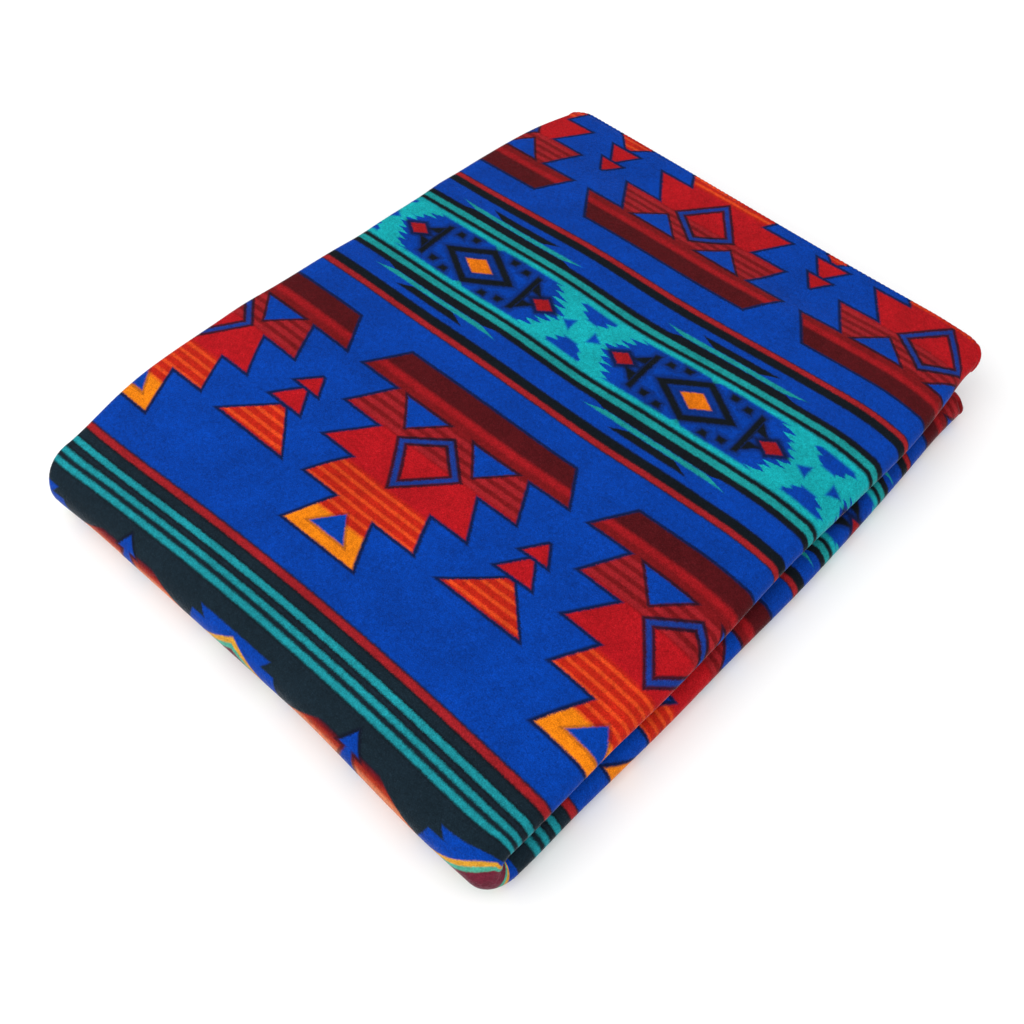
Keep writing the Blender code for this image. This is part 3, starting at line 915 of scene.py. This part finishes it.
def diamond_band(tree, colour, place, from_diamond, from_figure, across):
    teal = teal_flames(tree, place, from_diamond, from_figure, across)
    colour = paint(tree, colour, teal, TEAL, blur=1.3)
    ring = ring_inside(tree, diamond(tree, from_diamond, across, *RING_DIAMOND), RING_INSET, RING_HALF)
    spots = blocks(tree, from_diamond, across, DIAMOND_SPOTS)
    gates = blocks(tree, across, from_diamond, DIAMOND_GATES)
    slit = blocks(tree, across, from_diamond, GATE_SLIT)
    slit = add(tree, "ShaderNodeMath", {0: slit, 1: -1.0}, operation="MULTIPLY")
    gates = add(tree, "ShaderNodeMath", {0: gates, 1: slit}, operation="MAXIMUM")
    dark = add(tree, "ShaderNodeMath", {0: ring, 1: spots}, operation="MINIMUM")
    dark = add(tree, "ShaderNodeMath", {0: dark, 1: gates}, operation="MINIMUM")
    colour = paint(tree, colour, dark, BLACK, outline=0.35, reach=3.0, blur=1.1)
    heart = diamond(tree, from_diamond, across, *HEART_DIAMOND)
    colour = paint(tree, colour, heart, HEART_ORANGE, outline=0.5, reach=3.4)
    from_red = add(tree, "ShaderNodeMath", {0: from_diamond, 1: RED_DIAMOND_PLACE}, operation="SUBTRACT")
    from_red = add(tree, "ShaderNodeMath", {0: from_red}, operation="ABSOLUTE")
    red_diamond = diamond(tree, from_red, across, *RED_DIAMOND)
    colour = paint(tree, colour, red_diamond, BAR_RED, outline=0.85, reach=HALO_MM)
    colour = paint(tree, colour, blocks(tree, from_diamond, across, BROKEN_BLACK), BLACK)
    return paint(tree, colour, blocks(tree, from_diamond, across, BROKEN_TEAL), LINE_TEAL)


# %% Bands on the half fold, and the whole print
def front_bands(tree, colour, from_diamond, from_figure, across):
    # The flames' ramp is print, with painted sheen from the floor in its pale last band
    flames = banded(tree, across, 265.0, 300.0, OUTLINE_BLUE, FLAME_BANDS, blur=1.7)
    colour = paint(tree, colour, blocks(tree, from_diamond, across, FRONT_FLAMES), flames, blur=1.4)
    colour = paint(tree, colour, blocks(tree, from_figure, across, FRONT_STEPS), BLUE)
    colour = paint(tree, colour, blocks(tree, from_diamond, across, FRONT_ARROWS), BLUE, outline=0.7)
    chevron = slanted(tree, from_figure, across, 1.0, -CHEVRON_SLOPE, -CHEVRON_SLOPE * CHEVRON_POINT)
    for depth, shade in ((0.0, GOLD), (3.4, GREEN_TEAL), (6.8, PLUM)):
        ring = add(tree, "ShaderNodeMath", {0: chevron, 1: depth}, operation="ADD")
        colour = paint(tree, colour, ring, shade)
    return colour


def print_group():
    tree = bpy.data.node_groups.new("band_print", "ShaderNodeTree")
    tree.interface.new_socket("Cloth place", in_out="INPUT", socket_type="NodeSocketVector")
    tree.interface.new_socket("Colour", in_out="OUTPUT", socket_type="NodeSocketColor")
    place = tree.nodes.new("NodeGroupInput").outputs[0]
    parts = add(tree, "ShaderNodeSeparateXYZ", {0: place}).node.outputs
    from_diamond = add(tree, "ShaderNodeMath", {0: parts[0], 1: HALF_REPEAT_MM}, operation="PINGPONG")
    from_figure = add(tree, "ShaderNodeMath", {0: HALF_REPEAT_MM, 1: from_diamond}, operation="SUBTRACT")
    across = add(tree, "ShaderNodeMath", {0: parts[1], 1: MIRROR_MM}, operation="PINGPONG")
    colour = plain_bands(tree, across)
    colour = red_figures(tree, colour, from_diamond, from_figure, across)
    colour = diamond_band(tree, colour, place, from_diamond, from_figure, across)
    colour = front_bands(tree, colour, from_diamond, from_figure, across)
    result = tree.nodes.new("NodeGroupOutput")
    tree.links.new(colour, result.inputs[0])
    return tree


PRINT = print_group()
print("print nodes:", len(PRINT.nodes))

# %% [markdown]
# ## The fleece
# Fleece is knitted polyester whose face is brushed and sheared, so it has a dense short pile. The eye sees
# a matt, slightly speckled surface: the pile stands in small clumps, the print's edges fray by a millimetre
# or two, and where the cloth turns away, the fibre ends catch light as a soft pale rim. The pile's real
# fibres are far too fine to draw, so clumps of 1 to 2 mm stand for them. Polyester has an index of
# refraction of about 1.57.

# %% Fleece material
FRAY_MM = 0.5
FINE_FRAY_MM = 0.8
CLUMP_MM = 2.4
FIBRE_MM = 0.65
PILE_DEPTH = 0.0009
CLOUD_MM = 34.0
MOTTLE_MM = 11.0
# Pale flecks: partly loose fibres (lint), partly painted highlight on the fibre ends
LINT_AND_FIBRE_GLINT = "#B9C4D6"                # loose fibre ends that catch light
REVERSE_BLUE = "#8FA3C8"        # the print shows through weakly on the reverse


def fleece_material(name, reverse_fade=0.0, thread=None):
    material = bpy.data.materials.new(name)
    material.use_nodes = True
    tree = material.node_tree
    shader = tree.nodes["Principled BSDF"]
    cloth = add(tree, "ShaderNodeUVMap", uv_map="cloth_metres")
    cloth_mm = add(tree, "ShaderNodeVectorMath", {0: cloth, 3: 1000.0}, operation="SCALE")
    solid_mm = add(tree, "ShaderNodeVectorMath",
                   {0: tree.nodes.new("ShaderNodeTexCoord").outputs["Object"], 3: 1000.0}, operation="SCALE")
    clumps, fibres, clouds, mottle = (
        add(tree, "ShaderNodeTexNoise", {"Vector": solid_mm, "Scale": 1 / size, "Detail": detail,
                                         "Roughness": roughness})
        for size, detail, roughness in ((CLUMP_MM, 2.0, 0.6), (FIBRE_MM, 2.0, 0.7), (CLOUD_MM, 3.0, 0.5),
                                        (MOTTLE_MM, 2.0, 0.5)))
    fray = cloth_mm
    for noise, reach in ((clumps, FRAY_MM), (fibres, FINE_FRAY_MM)):
        shift = add(tree, "ShaderNodeVectorMath", {0: noise.node.outputs["Color"], 1: (0.5, 0.5, 0.5)},
                    operation="SUBTRACT")
        fray = add(tree, "ShaderNodeVectorMath", {0: shift, 1: (2 * reach, 2 * reach, 0.0), 2: fray},
                   operation="MULTIPLY_ADD")
    printed = add(tree, "ShaderNodeGroup", node_tree=PRINT)
    tree.links.new(fray, printed.node.inputs[0])

    # Painted shade darkens the gaps between clumps, painted highlight lightens the fibre ends, and the whole
    # cloth is a little cloudy
    shade = 1.0
    for noise, low, high, dark, light in ((clumps, 0.25, 0.75, 0.80, 1.16), (fibres, 0.25, 0.75, 0.58, 1.40),
                                          (clouds, 0.3, 0.7, 0.90, 1.10), (mottle, 0.3, 0.7, 0.92, 1.08)):
        tone = add(tree, "ShaderNodeMapRange", {"Value": noise, 1: low, 2: high, 3: dark, 4: light})
        shade = add(tree, "ShaderNodeMath", {0: shade, 1: tone}, operation="MULTIPLY")
    colour = add(tree, "ShaderNodeVectorMath", {0: printed, 3: shade}, operation="SCALE")
    # Pale flecks on the fibre ends: lint, with painted highlight where the ends catch light
    lint_and_glint = add(tree, "ShaderNodeMapRange", {"Value": fibres, 1: 0.60, 2: 0.85, 3: 0.0, 4: 0.025})
    colour = add(tree, "ShaderNodeMix", {0: lint_and_glint, 6: colour, 7: linear(LINT_AND_FIBRE_GLINT)},
                 data_type="RGBA").node.outputs[2]
    if reverse_fade:
        back = add(tree, "ShaderNodeAttribute", attribute_name="reverse_side").node.outputs["Fac"]
        back = add(tree, "ShaderNodeMath", {0: back, 1: reverse_fade}, operation="MULTIPLY")
        colour = add(tree, "ShaderNodeMix", {0: back, 6: colour, 7: linear(REVERSE_BLUE)},
                     data_type="RGBA").node.outputs[2]
    if thread:
        wrapped = add(tree, "ShaderNodeAttribute", attribute_name="thread_share").node.outputs["Fac"]
        wrapped = add(tree, "ShaderNodeMapRange", {"Value": wrapped, 1: 0.25, 2: 0.95, 3: 0.0, 4: 0.45},
                      interpolation_type="SMOOTHSTEP")
        colour = add(tree, "ShaderNodeMix", {0: wrapped, 6: colour, 7: linear(thread)},
                     data_type="RGBA").node.outputs[2]
    tree.links.new(colour, shader.inputs["Base Color"])

    height = add(tree, "ShaderNodeMath", {0: clumps, 1: 0.6}, operation="MULTIPLY")
    height = add(tree, "ShaderNodeMath", {0: fibres, 1: 0.4, 2: height}, operation="MULTIPLY_ADD")
    bump = add(tree, "ShaderNodeBump", {"Strength": 0.75, "Distance": PILE_DEPTH, "Height": height})
    tree.links.new(bump, shader.inputs["Normal"])
    shader.inputs["Roughness"].default_value = 0.92
    shader.inputs["IOR"].default_value = 1.57
    shader.inputs["Specular IOR Level"].default_value = 0.06
    shader.inputs["Sheen Weight"].default_value = 0.30
    shader.inputs["Sheen Roughness"].default_value = 0.22
    shader.inputs["Sheen Tint"].default_value = linear("#E6EAF2")
    return material


BRUSHED_FLEECE = fleece_material("brushed_polyester_fleece", reverse_fade=0.28)
OVERLOCKED_FLEECE = fleece_material("overlocked_polyester_fleece", thread="#081A44")
blanket.data.materials.append(BRUSHED_FLEECE)
edge_bead.data.materials.append(OVERLOCKED_FLEECE)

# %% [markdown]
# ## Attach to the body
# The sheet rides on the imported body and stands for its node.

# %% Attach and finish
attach(blanket, "root")
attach(edge_bead, "root")
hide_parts(CAD_NODE)
